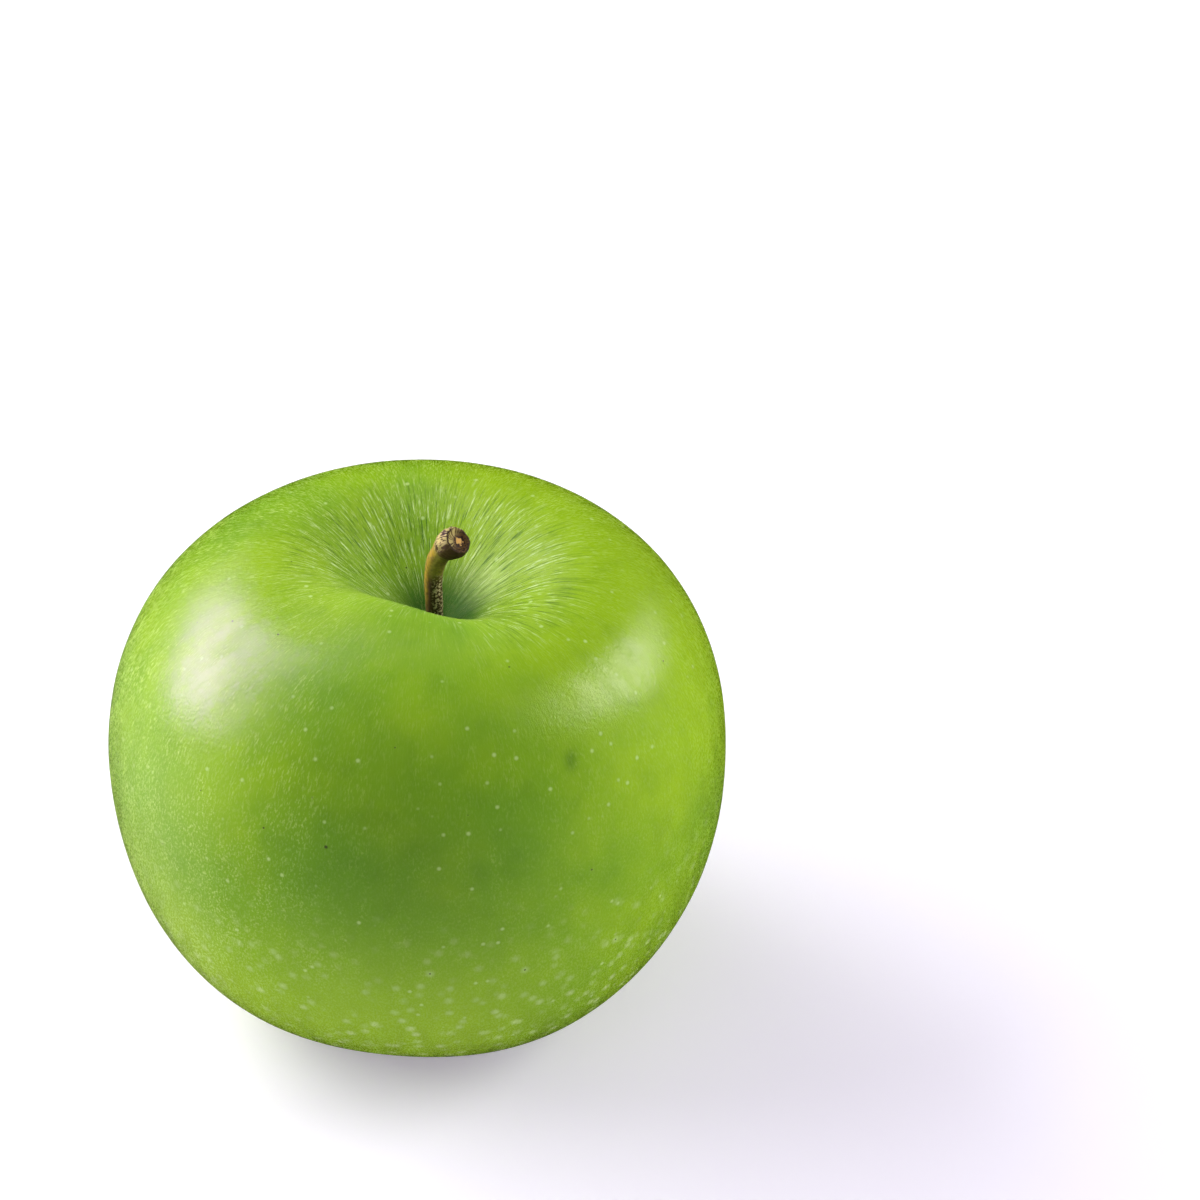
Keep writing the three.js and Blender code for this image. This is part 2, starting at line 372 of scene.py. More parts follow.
def add(tree, kind, inputs=None, output=0, **settings):
    """Adds a node with its settings and its inputs, each a value or the socket that feeds it,
    and gives back one of its outputs."""
    made = tree.nodes.new(kind)
    for name, value in settings.items():
        setattr(made, name, value)
    for socket, value in (inputs or {}).items():
        if isinstance(value, bpy.types.NodeSocket):
            tree.links.new(value, made.inputs[socket])
        else:
            made.inputs[socket].default_value = value
    return made.outputs[output]


def new_material(name, **settings):
    """A material with only its shader and output: its node tree and its shader node."""
    material = bpy.data.materials.new(name)
    material.use_nodes = True
    tree = material.node_tree
    shader = tree.nodes["Principled BSDF"]
    for socket, value in settings.items():
        shader.inputs[socket.replace("_", " ")].default_value = value
    return material, tree, shader


def paint(tree, below, above, cover):
    """One colour laid over another where cover is 1."""
    return add(
        tree, "ShaderNodeMix", {MIX_SHARE: cover, MIX_FIRST: below, MIX_SECOND: above},
        MIX_RESULT, data_type="RGBA",
    )


def opaque(rgb):
    return (*rgb, 1)


def waxed_peel(colours):
    """Apple peel: living green skin grown under a thin natural wax. The eye sees a clear soft
    gloss over fine pale streaks that run from the stem, and pale dots, the peel's pores."""
    # The IOR is below that of wax, because a dull bloom lies on the peel. The coat is the wax
    # where it was rubbed clean.
    material, tree, shader = new_material(
        "waxed_apple_peel", IOR=1.22, Coat_Roughness=0.2, Coat_IOR=1.45,
        Subsurface_Weight=0.1, Subsurface_Scale=1.0 * MM, Subsurface_Radius=(1.0, 1.4, 0.2),
    )
    place = add(tree, "ShaderNodeTexCoord", output="Object")
    meridian, fleck_place = (
        add(tree, "ShaderNodeAttribute", output="Vector", attribute_name=name)
        for name in ("meridian", "flecks")
    )
    cavity, funnel, matt, mottle, foot, painted_floor_light, sunny, bruise_and_shade, painted_sheen_and_light = (
        add(tree, "ShaderNodeAttribute", output="Fac", attribute_name=name)
        for name in (
            "cavity", "funnel", "matt", "mottle", "foot", "painted_floor_light", "sunny", "bruise_and_shade", "painted_sheen_and_light",
        )
    )

    # Broad drifts of colour, about 14 mm across, and blotches of 4 mm
    drift = add(
        tree, "ShaderNodeTexNoise", {"Vector": place, "Scale": 1 / (14 * MM), "Detail": 3.0}
    )
    drifting = add(tree, "ShaderNodeMath", {0: drift, 1: sunny}, operation="ADD")
    sunlit = add(
        tree, "ShaderNodeMapRange", {VALUE: drifting, LOW: 0.5, HIGH: 1.3},
        interpolation_type="SMOOTHSTEP",
    )
    peel = paint(tree, opaque(colours.ground), opaque(colours.sunny), sunlit)
    blotches = add(
        tree, "ShaderNodeTexNoise", {"Vector": place, "Scale": 1 / (4 * MM), "Detail": 3.0}
    )
    blotch = add(
        tree, "ShaderNodeMapRange", {VALUE: blotches, LOW: 0.45, HIGH: 0.8, AT_HIGH: 0.16},
        interpolation_type="SMOOTHSTEP",
    )
    peel = paint(tree, peel, opaque(colours.shade), blotch)
    # A small dark smudge, and a wide, faint patch of painted shade on the front
    peel = paint(tree, peel, opaque(colours.shade), bruise_and_shade)
    # Painted light thrown up by the floor: a brighter green round the foot, less at the right front
    peel = paint(tree, peel, opaque(colours.foot), painted_floor_light)
    # Painted shade deep in the cavity round the stem, over its deeper green, weaker on the left
    # wall
    peel = paint(tree, peel, opaque(colours.shade), funnel)

    # A thin painted sheen on the left, and a pale spot of painted light on the cavity's right wall
    peel = paint(tree, peel, opaque(colours.streak_and_sheen), painted_sheen_and_light)

    # Streaks that start in the cavity. At 10 mm from the stem each is 10 / 62 = 0.16 mm wide,
    # and it is 1 / 0.22 = 4.5 mm long. Gaps in them are 0.25 mm wide and 1.4 mm long.
    streak_lines = add(
        tree, "ShaderNodeVectorMath", {0: meridian, 1: (62, 62, 0.22)}, operation="MULTIPLY"
    )
    streaks = add(
        tree, "ShaderNodeTexNoise",
        {"Vector": streak_lines, "Scale": 1.0, "Detail": 4.0, "Roughness": 0.7},
    )
    break_lines = add(
        tree, "ShaderNodeVectorMath", {0: meridian, 1: (40, 40, 0.7)}, operation="MULTIPLY"
    )
    breaks = add(tree, "ShaderNodeTexNoise", {"Vector": break_lines, "Scale": 1.0, "Detail": 2.0})
    between = add(
        tree, "ShaderNodeMapRange", {VALUE: streaks, LOW: 0.47, HIGH: 0.37},
        interpolation_type="SMOOTHSTEP",
    )
    between = add(tree, "ShaderNodeMath", {0: between, 1: cavity}, operation="MULTIPLY")
    peel = paint(tree, peel, opaque(colours.shade), between)
    pale = add(
        tree, "ShaderNodeMapRange", {VALUE: streaks, LOW: 0.54, HIGH: 0.62},
        interpolation_type="SMOOTHSTEP",
    )
    pale = add(tree, "ShaderNodeMath", {0: pale, 1: cavity}, operation="MULTIPLY")
    unbroken = add(
        tree, "ShaderNodeMapRange",
        {VALUE: breaks, LOW: 0.38, HIGH: 0.6, AT_LOW: 0.0, AT_HIGH: 1.3},
    )
    pale = add(tree, "ShaderNodeMath", {0: pale, 1: unbroken}, operation="MULTIPLY", use_clamp=True)
    peel = paint(tree, peel, opaque(colours.streak_and_sheen), pale)

    # Short pale flecks all over, thickest on the left. At the widest ring each is 37.6 / 150 =
    # 0.25 mm wide and 1 / 2.6 = 0.4 mm long, in patches 37.6 / 13 = 3 mm wide and 7 mm long.
    fleck_lines = add(
        tree, "ShaderNodeVectorMath", {0: fleck_place, 1: (150, 150, 2.6)}, operation="MULTIPLY"
    )
    flecks = add(
        tree, "ShaderNodeTexNoise",
        {"Vector": fleck_lines, "Scale": 1.0, "Detail": 5.0, "Roughness": 0.72},
    )
    patch_lines = add(
        tree, "ShaderNodeVectorMath", {0: meridian, 1: (13, 13, 0.14)}, operation="MULTIPLY"
    )
    patches = add(
        tree, "ShaderNodeTexNoise",
        {"Vector": patch_lines, "Scale": 1.0, "Detail": 5.0, "Roughness": 0.7},
    )
    patchy = add(
        tree, "ShaderNodeMapRange",
        {VALUE: patches, LOW: 0.36, HIGH: 0.66, AT_LOW: 0.15, AT_HIGH: 1.5},
    )
    fleck = add(
        tree, "ShaderNodeMapRange", {VALUE: flecks, LOW: 0.51, HIGH: 0.66},
        interpolation_type="SMOOTHSTEP",
    )
    fleck = add(tree, "ShaderNodeMath", {0: fleck, 1: mottle}, operation="MULTIPLY")
    fleck = add(tree, "ShaderNodeMath", {0: fleck, 1: patchy}, operation="MULTIPLY", use_clamp=True)
    peel = paint(tree, peel, opaque(colours.mottle), fleck)

    # Small clear pores, up to 0.28 of a cell of 2.7 mm wide, which is 0.8 mm
    pores = add(
        tree, "ShaderNodeTexVoronoi", {"Vector": place, "Scale": 1 / (2.7 * MM)}, "Distance"
    )
    pore = add(
        tree, "ShaderNodeMapRange", {VALUE: pores, LOW: 0.14, HIGH: 0.04, AT_HIGH: 0.6},
        interpolation_type="SMOOTHSTEP",
    )
    peel = paint(tree, peel, opaque(colours.dot), pore)

    # Wide soft pores in cells of 2 mm, thicker towards the foot, and a corky centre in a few
    halos = add(
        tree, "ShaderNodeTexVoronoi", {"Vector": place, "Scale": 1 / (2.0 * MM)}, "Distance"
    )
    lot = halos.node.outputs["Color"]
    halo = add(
        tree, "ShaderNodeMapRange", {VALUE: halos, LOW: 0.44, HIGH: 0.06},
        interpolation_type="SMOOTHSTEP",
    )
    strong = add(tree, "ShaderNodeMapRange", {VALUE: lot, LOW: 0.25, HIGH: 0.65, AT_LOW: 0.4})
    halo = add(tree, "ShaderNodeMath", {0: halo, 1: strong}, operation="MULTIPLY")
    halo = add(tree, "ShaderNodeMath", {0: halo, 1: foot}, operation="MULTIPLY")
    peel = paint(tree, peel, opaque(colours.dot), halo)
    core = add(tree, "ShaderNodeMapRange", {VALUE: halos, LOW: 0.08, HIGH: 0.05})
    corky = add(tree, "ShaderNodeMapRange", {VALUE: lot, LOW: 0.78, HIGH: 0.8})
    core = add(tree, "ShaderNodeMath", {0: core, 1: corky}, operation="MULTIPLY")
    peel = paint(tree, peel, opaque(colours.speck), core)
    away = add(
        tree, "ShaderNodeVectorMath", {0: place, 1: [MM * v for v in PRICK]}, "Value",
        operation="DISTANCE",
    )
    prick = add(tree, "ShaderNodeMapRange", {VALUE: away, LOW: 0.3 * MM, HIGH: 0.12 * MM})
    peel = paint(tree, peel, opaque(colours.speck), prick)
    tree.links.new(peel, shader.inputs["Base Color"])

    # The wax is thinner and duller on the flecks, gone in the cavity, and lies over a skin
    # that is faintly pebbled, 0.5 mm across
    dull = add(
        tree, "ShaderNodeMapRange",
        {VALUE: flecks, LOW: 0.3, HIGH: 0.7, AT_LOW: 0.18, AT_HIGH: 0.36},
    )
    dull = add(tree, "ShaderNodeMath", {0: dull, 1: matt}, operation="ADD", use_clamp=True)
    tree.links.new(dull, shader.inputs["Roughness"])
    wax = add(tree, "ShaderNodeMath", {0: patches, 1: flecks}, operation="MULTIPLY")
    wax = add(
        tree, "ShaderNodeMapRange",
        {VALUE: wax, LOW: 0.18, HIGH: 0.33, AT_LOW: 0.95, AT_HIGH: 0.15},
    )
    glossy = add(tree, "ShaderNodeMath", {0: 1.0, 1: matt}, operation="SUBTRACT")
    wax = add(tree, "ShaderNodeMath", {0: wax, 1: glossy}, operation="MULTIPLY")
    tree.links.new(wax, shader.inputs["Coat Weight"])
    pebbles = add(
        tree, "ShaderNodeTexNoise", {"Vector": place, "Scale": 1 / (0.5 * MM), "Detail": 2.0}
    )
    height = add(tree, "ShaderNodeMath", {0: pebbles, 1: flecks}, operation="ADD")
    relief = add(
        tree, "ShaderNodeBump", {"Height": height, "Strength": 0.42, "Distance": 0.08 * MM}
    )
    tree.links.new(relief, shader.inputs["Normal"])
    tree.links.new(relief, shader.inputs["Coat Normal"])
    return material


def dry_bark(colours):
    """Dried apple stalk: thin bark over wood, grown, and shrunk as it dried. The eye sees matt
    olive and brown with a lighter stripe, pale corky grains and rings in the broken end."""
    material, tree, shader = new_material("dry_stalk_bark", Roughness=0.7, IOR=1.35)
    place = add(tree, "ShaderNodeTexCoord", output="Object")
    fibre = add(tree, "ShaderNodeAttribute", output="Vector", attribute_name="fibre")
    olive, ochre, gold, painted_underside_shade, rind, grit, ring, broken = (
        add(tree, "ShaderNodeAttribute", output="Fac", attribute_name=name)
        for name in ("olive", "ochre", "gold", "painted_underside_shade", "rind", "grit", "ring", "broken")
    )

    # Dirt in grains of half a millimetre darkens the bark, and painted shade darkens the
    # underside of the bend and the knob
    dirt = add(
        tree, "ShaderNodeTexNoise", {"Vector": place, "Scale": 1 / (0.5 * MM), "Detail": 4.0}
    )
    dirty = add(tree, "ShaderNodeMapRange", {VALUE: dirt, LOW: 0.4, HIGH: 0.7, AT_HIGH: 0.6})
    bark = paint(tree, opaque(colours.bark), opaque(colours.bark_olive), olive)
    bark = paint(tree, bark, opaque(colours.bark_ochre), ochre)
    bark = paint(tree, bark, opaque(colours.bark), dirty)
    bark = paint(tree, bark, opaque(colours.dark_ring_and_shade), painted_underside_shade)

    # Pale grains of 0.3 mm on the lower part, and a cream crust, cracked along the fibres, on
    # the swollen end
    grains = add(
        tree, "ShaderNodeTexNoise", {"Vector": place, "Scale": 1 / (0.3 * MM), "Detail": 3.0}
    )
    grain = add(tree, "ShaderNodeMapRange", {VALUE: grains, LOW: 0.5, HIGH: 0.58})
    grain = add(tree, "ShaderNodeMath", {0: grain, 1: grit}, operation="MULTIPLY")
    bark = paint(tree, bark, opaque(colours.bark_grit), grain)
    wrinkles = add(tree, "ShaderNodeTexNoise", {"Vector": fibre, "Scale": 1.0, "Detail": 3.0})
    peeling = add(tree, "ShaderNodeMapRange", {VALUE: wrinkles, LOW: 0.46, HIGH: 0.54})
    crust = add(tree, "ShaderNodeMath", {0: peeling, 1: gold}, operation="MULTIPLY")
    bark = paint(tree, bark, opaque(colours.crust), crust)

    # Rings of the broken end, from the pith outwards, made uneven by the grains
    uneven = add(tree, "ShaderNodeMath", {0: grains, 1: 0.5}, operation="SUBTRACT")
    rings = add(tree, "ShaderNodeMath", {0: uneven, 1: 0.7, 2: ring}, operation="MULTIPLY_ADD")
    end = opaque(colours.pith)
    for inner, outer, ring_colour in (
        (0.24, 0.3, colours.dark_ring_and_shade), (0.42, 0.5, colours.wood),
        (0.6, 0.68, colours.dark_ring_and_shade), (0.76, 0.82, colours.wood), (0.9, 0.98, colours.dark_ring_and_shade),
    ):
        beyond = add(tree, "ShaderNodeMapRange", {VALUE: rings, LOW: inner, HIGH: outer})
        end = paint(tree, end, opaque(ring_colour), beyond)
    flaking = add(tree, "ShaderNodeMath", {0: peeling, 1: rind}, operation="MULTIPLY")
    end = paint(tree, end, opaque(colours.crust), flaking)
    bark = paint(tree, bark, end, broken)
    tree.links.new(bark, shader.inputs["Base Color"])
    relief = add(tree, "ShaderNodeBump", {"Height": grains, "Strength": 0.6, "Distance": 0.08 * MM})
    tree.links.new(relief, shader.inputs["Normal"])
    return material


def dried_leaf(colours):
    """Dried sepal: a small leaf withered on the fruit. The eye sees matt grey-green felt that
    turns brown at its edge."""
    material, tree, shader = new_material("dried_sepal_leaf", Roughness=0.85, IOR=1.45)
    place = add(tree, "ShaderNodeTexCoord", output="Object")
    edge = add(tree, "ShaderNodeAttribute", output="Fac", attribute_name="edge")
    felt = add(
        tree, "ShaderNodeTexNoise", {"Vector": place, "Scale": 1 / (0.3 * MM), "Detail": 4.0}
    )
    worn = add(tree, "ShaderNodeMath", {0: felt, 1: edge}, operation="ADD")
    brown = add(
        tree, "ShaderNodeMapRange", {VALUE: worn, LOW: 0.6, HIGH: 1.2},
        interpolation_type="SMOOTHSTEP",
    )
    leaf = paint(tree, opaque(colours.sepal), opaque(colours.sepal_edge), brown)
    tree.links.new(leaf, shader.inputs["Base Color"])
    relief = add(tree, "ShaderNodeBump", {"Height": felt, "Strength": 0.5, "Distance": 0.05 * MM})
    tree.links.new(relief, shader.inputs["Normal"])
    return material


def dried_thread(colours):
    """Dried stamens: threads and husks left from the flower. The eye sees matt dark brown."""
    material, tree, shader = new_material("dried_stamen_thread", Roughness=0.9, IOR=1.45)
    place = add(tree, "ShaderNodeTexCoord", output="Object")
    dust = add(
        tree, "ShaderNodeTexNoise", {"Vector": place, "Scale": 1 / (0.25 * MM), "Detail": 3.0}
    )
    faded = add(tree, "ShaderNodeMapRange", {VALUE: dust, LOW: 0.45, HIGH: 0.8})
    thread = paint(tree, opaque(colours.stamen), opaque(colours.sepal), faded)
    tree.links.new(thread, shader.inputs["Base Color"])
    return material


def white_sweep(studio):
    """Lit table: cast opal acrylic sheet with light behind it. The eye sees plain white, and
    shadows that stay pale."""
    material, _, _ = new_material(
        "lit_white_acrylic_sheet", Base_Color=opaque(studio.floor), Roughness=0.45, IOR=1.4,
        Emission_Color=opaque(studio.glow), Emission_Strength=studio.glow_strength,
    )
    return material


def fruit_rows(count):
    """Angles from the stem end to the calyx end, closer together at both ends."""
    down = np.linspace(0, 1, count + 1)
    crowding = 0.3
    return math.pi * down - crowding * np.sin(TURN * down)


def walked(steps):
    """How far each row lies from the first, given the steps from row to row."""
    return np.concatenate([np.zeros((1, steps.shape[1])), np.cumsum(steps, axis=0)])


def wrapped(around, along):
    """Places for a pattern that runs along and joins up round the fruit or the stem."""
    return np.stack([np.cos(around), np.sin(around), along], axis=-1)


class APPLE_OT_fruit(bpy.types.Operator):
    """Grow the fruit: one closed skin with the stem cavity and the calyx basin"""

    bl_idname = "apple.fruit"
    bl_label = "Fruit"

    def execute(self, context):
        shape = context.scene.apple_fruit
        rows, columns = 256, 360
        polar, around = np.meshgrid(
            fruit_rows(rows), np.linspace(0, TURN, columns, endpoint=False), indexing="ij"
        )
        points = fruit_points(shape, polar, around)
        up = np.cos(polar)
        radius = np.hypot(points[..., 0], points[..., 1])
        steps = np.linalg.norm(np.diff(points, axis=0), axis=-1)
        arc = walked(steps)
        # Flecks are drawn out along the shoulder, by up to 1 / 0.45
        drawn_out = 1 - 0.55 * smooth(up, 0.0, 0.6)

        # Fine ridges in the cavity, and the grown skin's slight unevenness, which fades out at
        # both ends
        ridged = bump(radius / (7 * MM)) * smooth(up, 0, 0.4)
        ridges = 0.05 * MM * wavy(wrapped(around, arc / (60 * MM)), 0.05, 5, octaves=2) * ridged
        uneven = 0.10 * MM * wavy(points, 14 * MM, 3) * np.sin(polar) ** 2
        outward = points / np.linalg.norm(points, axis=-1, keepdims=True)
        points = points + outward * uneven[..., None]
        points[..., 2] += ridges
        points += body_middle(shape)
        points[..., 2] = np.maximum(points[..., 2], 0)

        corners, faces = skin(points)
        peel = waxed_peel(context.scene.apple_colours)
        piece = make_piece("apple_fruit", corners, faces, peel, "fruit")
        add_attribute(piece, "meridian", poled(wrapped(around, arc / MM)))
        add_attribute(piece, "flecks", poled(wrapped(around, walked(steps * drawn_out[1:]) / MM)))
        add_attribute(piece, "bruise_and_shade", poled(self.bruise_and_shade(points)))
        for name, cover in self.covers(up, around, radius).items():
            add_attribute(piece, name, poled(cover))
        return {"FINISHED"}

    def covers(self, up, around, radius):
        """How strongly each colour or finish covers the peel, from 0 to about 1."""
        left = np.cos(around - LEFT_TURN)
        upper = up > 0
        low = smooth(-up, -0.25, 0.5)

        # Streaks start in the cavity and end past its rim, sooner at the front
        streaked = smooth(radius, 4.5 * MM, 8.5 * MM) * (1 - smooth(radius, 11 * MM, 24 * MM))
        front = smooth(-np.sin(around + 0.35), 0.1, 0.9) * smooth(radius, 5 * MM, 10 * MM)
        # Painted shade in the cavity's funnel round the stem, weaker on its left wall
        funnel = (1 - smooth(radius, 4.5 * MM, 9.5 * MM)) * (1 - 0.6 * smooth(left, 0.2, 0.9))

        # Flecks are thickest on the left, and the sun yellows the shoulder and the right side
        mottle = 0.15 + 0.52 * smooth(left, 0.3, 1) + 0.15 * smooth(-left, 0.6, 1)
        mottle += 0.3 * smooth(np.sin(around), 0, 1) * smooth(up, 0, 0.5)
        mottle -= 0.25 * smooth(left, 0.1, 1) * smooth(-up, 0, 0.6)
        sunny = 0.35 * smooth(up, -0.2, 0.8) + 0.2 * smooth(left, 0.5, 1)
        sunny += 0.45 * smooth(-left, 0, 0.8)

        # A pale spot of painted light on the cavity's right wall, which fades over 28 degrees and
        # 2.5 mm, and a thin painted sheen on the left
        from_lit_spot = (around - LIT_SPOT_TURN + math.pi) % TURN - math.pi
        lit_spot = np.exp(-((from_lit_spot / math.radians(28)) ** 2))
        lit_spot = lit_spot * np.exp(-(((radius - 8.5 * MM) / (2.5 * MM)) ** 2))
        painted_sheen_and_light = 0.17 * smooth(left, 0.7, 1) * (1 - smooth(up, 0.2, 0.8))
        return {
            "cavity": 0.95 * streaked * (1 - 0.85 * front) * upper,
            "funnel": 0.95 * funnel * upper,
            "matt": 0.9 * (1 - smooth(radius, 9 * MM, 21 * MM)) * upper,
            "mottle": mottle,
            "sunny": sunny,
            "foot": 0.7 * low,
            # Painted light from the floor round the foot, less at the right front
            "painted_floor_light": 0.63 * low * (1 - 0.8 * smooth(-left, -0.1, 0.7)),
            "painted_sheen_and_light": painted_sheen_and_light + 0.3 * lit_spot * upper,
        }

    def bruise_and_shade(self, points):
        """A small dark smudge on the front, upright, and a wide, faint patch of painted shade."""
        smudge = (points - np.array(BRUISE) * MM) / (np.array(BRUISE_REACH) * MM)
        in_shade = (points - np.array(SHADE_PATCH) * MM) / (SHADE_PATCH_REACH * MM)
        faint = 0.26 * np.exp(-np.sum(in_shade**2, axis=-1))
        return 0.6 * np.exp(-np.sum(smudge**2, axis=-1)) + faint


# Middle line of the stem from its foot in the cavity to its broken end, from the body's middle
STEM_LINE = [
    (0.4, 1.0, 13.2), (0.5, 1.0, 20.6), (0.4, 1.0, 26.0),
    (0.75, 0.7, 29.2), (1.75, 0.05, 31.6), (3.35, -1.1, 33.9),
]


def smooth_line(points, steps):
    """Evenly spaced points along a smooth line through the given ones, and its length."""
    p = np.array(points, float)
    p = np.concatenate([[2 * p[0] - p[1]], p, [2 * p[-1] - p[-2]]])
    spans = []
    for i in range(1, len(p) - 2):
        t = np.linspace(0, 1, 60, endpoint=False)[:, None]
        a, b, c, d = p[i - 1 : i + 3]
        spans.append(0.5 * (2 * b + (c - a) * t + (2 * a - 5 * b + 4 * c - d) * t**2
                            + (3 * b - a - 3 * c + d) * t**3))
    line = np.concatenate([*spans, p[-2:-1]])
    lengths = np.concatenate([[0], np.cumsum(np.linalg.norm(np.diff(line, axis=0), axis=1))])
    even = np.linspace(0, lengths[-1], steps)
    return np.stack([np.interp(even, lengths, line[:, k]) for k in range(3)], axis=1), lengths[-1]


def stem_radius(shape, s):
    """Radius of the stem at shares s of its length from the foot."""
    foot, shaft, neck = shape.foot_radius, shape.shaft_radius, shape.neck_radius
    knob, end = shape.knob_radius, shape.end_radius
    radius = foot + (shaft - foot) * smooth(s, 0.2, 0.38) + (neck - shaft) * smooth(s, 0.62, 0.78)
    radius = radius + (knob - neck) * smooth(s, 0.8, 0.95)
    return radius + (end - knob) * smooth(s, 0.965, 1.0) ** 2


class APPLE_OT_stem(bpy.types.Operator):
    """Grow the stem: a bent dry stalk with a swollen, broken upper end"""

    bl_idname = "apple.stem"
    bl_label = "Stem"

    def execute(self, context):
        shape = context.scene.apple_stem
        side_rows, end_rows, columns = 150, 16, 72
        line, line_length = smooth_line(STEM_LINE, side_rows)
        line *= MM
        along = np.gradient(line, axis=0)
        along /= np.linalg.norm(along, axis=1, keepdims=True)
        right = np.cross(np.array([0.0, 1.0, 0.0]), along)
        right /= np.linalg.norm(right, axis=1, keepdims=True)
        back = np.cross(along, right)
        s, around = np.meshgrid(
            np.linspace(0, 1, side_rows), np.linspace(0, TURN, columns, endpoint=False),
            indexing="ij",
        )
        way = right[:, None] * np.cos(around)[..., None] + back[:, None] * np.sin(around)[..., None]

        # Long shallow flutes, and grit that is coarser on the swollen end
        fluted = 0.06 * MM * wavy(wrapped(around, 2 * s), 0.55, 11)
        gritty = 0.035 * MM * wavy(wrapped(around, 20 * s), 0.3, 12)
        coarser = 1 + 2.5 * smooth(s, 0.84, 0.92)
        radius = stem_radius(shape, s) + fluted + gritty * coarser
        sides = line[:, None] + way * radius[..., None]

        # The broken end: a low rim, then rings that dish down to the pith
        inward = np.linspace(1, 0, end_rows + 1)[1:, None]
        dish = -shape.end_dish * smooth(1 - inward, 0.05, 0.5)
        end = line[-1] + way[-1] * (radius[-1] * inward)[..., None]
        end = end + along[-1] * dish[..., None]
        foot = np.repeat(line[:1, None], columns, axis=1)
        points = np.concatenate([foot, sides, end])[::-1] + body_middle(context.scene.apple_fruit)

        corners, faces = skin(points)
        bark = dry_bark(context.scene.apple_colours)
        piece = make_piece("apple_stem", corners, faces, bark, "stem")
        full = np.concatenate([0 * s[:1], s, np.ones((end_rows, columns))])[::-1]
        turn = np.broadcast_to(around[:1], full.shape)
        inner = np.concatenate([np.ones((side_rows + 1, 1)), inward])[::-1]
        # Painted shade on the sides that face down, under the bend and the knob
        painted_underside_shade = np.zeros(full.shape)
        painted_underside_shade[end_rows:-1] = 0.75 * smooth(-way[::-1, :, 2], 0.0, 0.6)
        fibre = wrapped(turn, full * line_length) * FIBRES
        add_attribute(piece, "fibre", poled(fibre))
        add_attribute(piece, "painted_underside_shade", poled(painted_underside_shade))
        for name, cover in self.covers(full, turn, inner).items():
            add_attribute(piece, name, poled(cover))
        return {"FINISHED"}

    def covers(self, full, turn, inner):
        """How strongly each colour covers the stem, from 0 to 1. full is the share of its
        length from the foot, and inner is the share of the radius on the broken end."""
        left = -np.cos(turn)
        upper = smooth(full, 0.6, 0.7)
        knob = smooth(full, 0.84, 0.9)
        lit = smooth(np.cos(turn - CRUST_TURN), -0.2, 0.7)
        from_pith = np.hypot(inner * np.cos(turn) - 0.2, inner * np.sin(turn) - 0.1)
        rind = smooth(from_pith, 0.4, 0.6) * (1 - smooth(from_pith, 0.9, 1.05))
        return {
            "olive": 0.9 * upper * (1 - knob),
            "ochre": 0.85 * smooth(left, 0.4, 0.95) * smooth(full, 0.3, 0.6) * (1 - knob),
            "gold": knob * lit,
            "rind": 0.8 * rind * smooth(left, -0.3, 0.6),
            "grit": smooth(-left, -0.5, 0.4) * (1 - upper),
            "ring": from_pith,
            "broken": (inner < 0.99) + 0 * turn,
        }


def blade(rows, columns, root, reach, turn, out, width, thickness, side=None):
    """Points of a strip that hangs from a root height. out, width, thickness and side take
    the shares of its length, and turn is the direction that it hangs in."""
    s = np.clip((np.arange(rows + 1) - 1) / (rows - 2), 0, 1)[:, None]
    section = np.full((rows + 1, 1), 0.5)
    section[[0, -1]] = 0
    around = np.linspace(0, TURN, columns, endpoint=False)[None, :]
    through = section * thickness(s) * np.cos(around)
    across = section * width(s) * np.sin(around)
    if side is not None:
        across = across + side(s)
    hang = np.stack([out(s) + through, across, root - reach * s + 0 * around], axis=-1)
    spin = np.array(Matrix.Rotation(turn, 3, "Z"))
    return hang @ spin.T


def join_skins(skins):
    """Corners and faces of several closed skins as one mesh."""
    corners, faces, first = [], [], 0
    for points in skins:
        own_corners, own_faces = skin(points)
        corners.append(own_corners)
        faces += [tuple(first + i for i in face) for face in own_faces]
        first += len(own_corners)
    return np.concatenate(corners), faces


def round_base(radius, low, high, columns=48):
    """Points of a low round base with a rounded edge."""
    edge = np.linspace(0, math.pi, 9)
    r = np.concatenate([[0], radius - 0.3 * MM * (1 - np.sin(edge)), [0]])[:, None]
    z = np.concatenate([[high], (low + high) / 2 + (high - low) / 2 * np.cos(edge), [low]])[:, None]
    around = np.linspace(0, TURN, columns, endpoint=False)[None, :]
    return np.stack([r * np.cos(around), r * np.sin(around), z + 0 * around], axis=-1)


